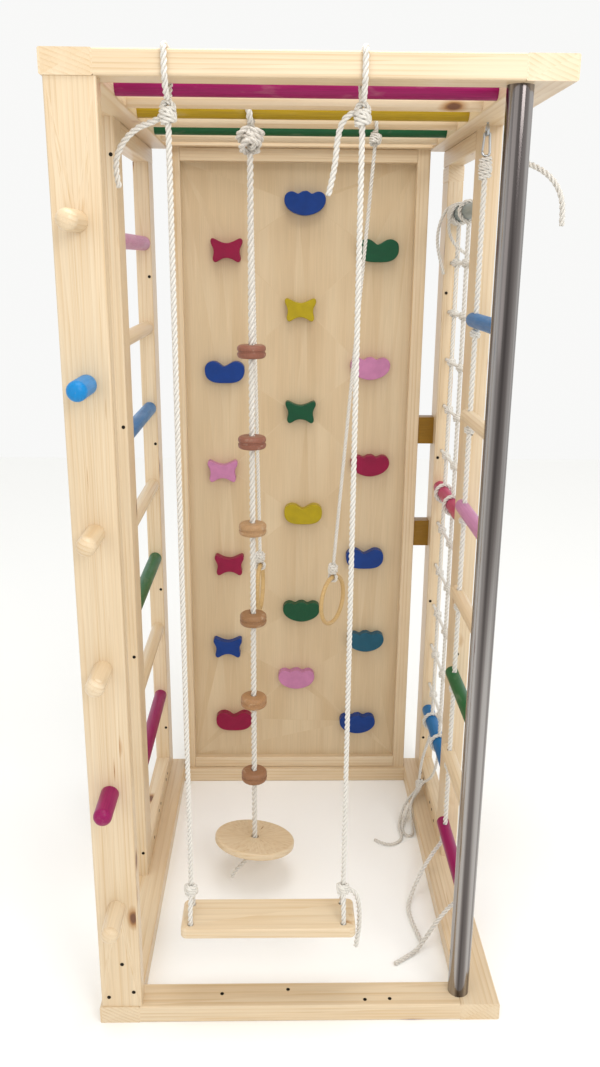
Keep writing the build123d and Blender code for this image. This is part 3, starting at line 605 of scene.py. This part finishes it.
# white laid rope: bright synthetic yarns with a soft sheen, with painted shade that makes it greyer where
# strands meet
def laidYarn(name):
    material, tree, shader = newMaterial(name)
    uv = addNode(tree, "UVMap", {"uv_map": "ropeMap"}).outputs[0]
    parts = addNode(tree, "SeparateXYZ", i0=uv).outputs
    slant = mathNode(tree, "MULTIPLY_ADD", parts[0], 0.22, parts[1])
    yarns = addNode(tree, "CombineXYZ", i0=0.0, i1=slant, i2=0.0).outputs[0]
    # yarns about 1 mm wide, drawn a little coarser so that they show
    lines = addNode(tree, "TexWave", {"wave_type": "BANDS", "bands_direction": "Y"}, Vector=yarns, Scale=4.8,
                    Distortion=0.6, Detail=1.0).outputs["Fac"]
    # painted shade: darker from the ridge of a strand to the valley beside it, where the strands meet
    strand = mathNode(tree, "MULTIPLY", mathNode(tree, "PINGPONG", parts[1], 1 / 6), 6.0)
    paintedStrandShade = ramped(tree, strand, [(0.55, 1.0), (0.98, 0.68)])
    fuzz = noise(tree, addNode(tree, "TexCoord").outputs["Object"], 260.0)
    colour = mixColour(tree, lines, toLinear("#CFC8BC"), toLinear("#F3EFE7"))
    # the painted shade in the valleys between strands darkens the yarn colour
    colour = mixColour(tree, 1.0, colour, paintedStrandShade, "MULTIPLY")
    soil = ramped(tree, fuzz, [(0.35, 0.93), (0.7, 1.0)])
    colour = mixColour(tree, 1.0, colour, soil, "MULTIPLY")
    tree.links.new(colour, shader.inputs["Base Color"])
    bump = addNode(tree, "Bump", Strength=0.5, Distance=0.0006, Height=lines).outputs[0]
    tree.links.new(bump, shader.inputs["Normal"])
    shader.inputs["Roughness"].default_value = 0.62
    shader.inputs["Sheen Weight"].default_value = 0.25
    shader.inputs["Sheen Roughness"].default_value = 0.4
    return material


# metals: fine lines along the tube or a mottled plating change how sharp the reflections are
def metal(name, code, rough, stretch, fine, spread=0.08, bands=None):
    material, tree, shader = newMaterial(name)
    place = addNode(tree, "TexCoord").outputs["Object"]
    marks = noise(tree, scaled(tree, place, stretch), fine, 3.0)
    sharpness = mapped(tree, marks, 0.3, 0.7, rough - spread * 0.5, rough + spread)
    tree.links.new(sharpness, shader.inputs["Roughness"])
    bump = addNode(tree, "Bump", Strength=0.08, Distance=0.0002, Height=marks).outputs[0]
    tree.links.new(bump, shader.inputs["Normal"])
    shader.inputs["Base Color"].default_value = toLinear(code)
    if bands:
        # painted reflection: darker and brighter streaks along the tube, set into the base colour, stand in
        # for the room reflected round it
        paintedReflectionStreaks = noise(tree, scaled(tree, place, stretch), bands["fine"])
        paintedReflectionTone = ramped(tree, paintedReflectionStreaks, [(0.36, bands["dark"]), (0.50, code), (0.62, bands["bright"])])
        tree.links.new(paintedReflectionTone, shader.inputs["Base Color"])
    shader.inputs["Metallic"].default_value = 1.0
    return material


rungBands = [(0.0, "#8E0452"), (0.20, "#0A5A2E"), (0.44, "#BE7FA8"), (0.68, "#0268A4")]
discBands = [(0.0, "#94694A"), (0.23, "#A87E56"), (0.34, "#966E4A"), (0.47, "#B08A62"), (0.59, "#8C5A48")]
materials = {
    "pineX": timber("oiledPineAcross", "X", pineLook),
    "pineY": timber("oiledPineDeep", "Y", pineLook),
    "pineZ": timber("oiledPineUpright", "Z", pineLook),
    "pineFrame": timber("oiledPineWallFrame", "Z", pineLook, mixedAxis="X"),
    "ply": timber("sandedBirchPly", "Z", plyLook),
    "magentaX": paintedWood("magentaSatinPaintBar", "X", "#8E0452"),
    "yellowX": paintedWood("yellowSatinPaintBar", "X", "#A5860A"),
    "greenX": paintedWood("greenSatinPaintBar", "X", "#075029"),
    "magentaY": paintedWood("magentaSatinPaint", "Y", "#8E0452"),
    "greenY": paintedWood("greenSatinPaint", "Y", "#0A5A2E"),
    "skyY": paintedWood("skyBlueSatinPaint", "Y", "#0580C2"),
    "blueY": paintedWood("blueSatinPaint", "Y", "#0268A4"),
    "pinkY": paintedWood("pinkSatinPaint", "Y", "#BE7FA8"),
    "crimsonY": paintedWood("crimsonSatinPaint", "Y", "#B3305C"),
    "greyY": paintedWood("greySatinPaint", "Y", "#8D9998"),
    "rungsY": paintedWood("ladderRungPaint", "Y", "#8E0452", bands=rungBands),
    "ochreX": paintedWood("ochreSatinPaint", "X", "#8A6416"),
    "discZ": paintedWood("brownPinkWoodStain", "Z", "#8F6252", bands=discBands, rubbed=0.3),
    "ringX": paintedWood("varnishedRingWood", "X", "#C8A670", rubbed=0.2),
    "holdBlue": paintedHold("bluePaintedHold", "#00347E", patch={"x": 0.15, "z": 0.519, "colour": "#155268"}),
    "holdMagenta": paintedHold("magentaPaintedHold", "#8A0038"),
    "holdGreen": paintedHold("greenPaintedHold", "#00492A"),
    "holdYellow": paintedHold("yellowPaintedHold", "#AC9600"),
    "holdPink": paintedHold("pinkPaintedHold", "#BE7BA2"),
    "rope": laidYarn("whiteLaidRope"),
    # the polished tube's base colour also carries painted reflection streaks, darker and brighter along its
    # length
    "pole": metal("polishedStainlessTube", "#756F6D", 0.14, (1, 1, 0.01), 300.0,
                  bands={"fine": 46.0, "dark": "#4A4544", "bright": "#A39F9D"}),
    "zinc": metal("brightZincPlate", "#B9BCBE", 0.34, (1, 1, 1), 500.0),
    "screw": metal("blackPhosphateScrew", "#2B2723", 0.5, (1, 1, 1), 900.0),
}
nodeFinish = {
    "base_side_boards": "pineY", "base_cross_boards": "pineX", "top_side_boards": "pineY",
    "top_cross_boards": "pineX", "front_post": "pineZ", "pegs_natural": "pineY",
    "peg_magenta": "magentaY", "peg_blue": "skyY", "steel_pole": "pole", "left_uprights": "pineZ",
    "right_uprights": "pineZ", "side_wall_rails": "pineY", "left_rungs_natural": "pineY",
    "left_rung_magenta": "magentaY", "left_rung_green": "greenY", "left_rung_blue": "blueY",
    "left_rung_pink": "pinkY", "net_bar_grey": "greyY", "net_bar_red": "crimsonY",
    "net_bar_blue": "blueY", "monkey_bars_natural": "pineX", "monkey_bar_magenta": "magentaX",
    "monkey_bar_yellow": "yellowX", "monkey_bar_green": "greenX", "wall_frame": "pineFrame",
    "wall_panel": "ply", "wall_ties": "ochreX", "holds_blue": "holdBlue",
    "holds_magenta": "holdMagenta", "holds_green": "holdGreen", "holds_yellow": "holdYellow",
    "holds_pink": "holdPink", "hold_screws": "zinc", "frame_screws": "screw",
    "ladder_eye_screws": "zinc", "swing_seat": "pineX", "rope_discs": "discZ", "round_seat": "pineX",
    "ring_left": "ringX", "ring_right": "ringX", "ladder_hooks": "zinc",
    "ladder_rungs_natural": "pineY", "ladder_rungs_painted": "rungsY", "hook_gate_near": "zinc",
    "hook_gate_far": "zinc",
}
for name, finish in nodeFinish.items():
    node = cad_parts[name]
    node.data.materials.clear()
    node.data.materials.append(materials[finish])
for piece in ropePieces:
    piece.data.materials.append(materials["rope"])
print("play frame: materials on", len(nodeFinish), "model pieces")

# plain pale floor and soft studio light
studio = {"floor": "#FBFBF9", "world": "#FDFDFC", "worldStrength": 0.96,
          "key": {"place": (1.3, -3.0, 2.9), "aim": (0, 0.3, 1.5), "size": 1.2, "power": 34},
          "fill": {"place": (-1.7, -3.0, 2.2), "aim": (0, 0.3, 1.4), "size": 2.0, "power": 10},
          "top": {"place": (0.1, -0.5, 3.6), "aim": (0, 0.4, 1.2), "size": 1.6, "power": 36}}


def softLight(name, setup):
    data = bpy.data.lights.new(name, "AREA")
    data.size = setup["size"]
    data.energy = setup["power"]
    lamp = bpy.data.objects.new(name, data)
    lamp.location = setup["place"]
    lamp.rotation_euler = (Vector(setup["aim"]) - Vector(setup["place"])).to_track_quat("-Z", "Y").to_euler()
    bpy.context.scene.collection.objects.link(lamp)


def paleFloor(setup):
    mesh = bpy.data.meshes.new("floor")
    reach = 6.0
    corners = [(-reach, -reach, 0), (reach, -reach, 0), (reach, reach, 0), (-reach, reach, 0)]
    mesh.from_pydata(corners, [], [(0, 1, 2, 3)])
    floor = bpy.data.objects.new("floor", mesh)
    bpy.context.scene.collection.objects.link(floor)
    material, tree, shader = newMaterial("mattFloorPaint")
    shader.inputs["Base Color"].default_value = toLinear(setup["floor"])
    shader.inputs["Roughness"].default_value = 0.7
    mesh.materials.append(material)


paleFloor(studio)
for name in ("key", "fill", "top"):
    softLight(name + "Light", studio[name])
world = bpy.data.worlds.new("studioWorld")
world.use_nodes = True
world.node_tree.nodes["Background"].inputs[0].default_value = toLinear(studio["world"])
world.node_tree.nodes["Background"].inputs[1].default_value = studio["worldStrength"]
bpy.context.scene.world = world
bpy.context.scene.view_settings.view_transform = "Standard"  # paint colours stay as deep as given
print("play frame: studio ready")
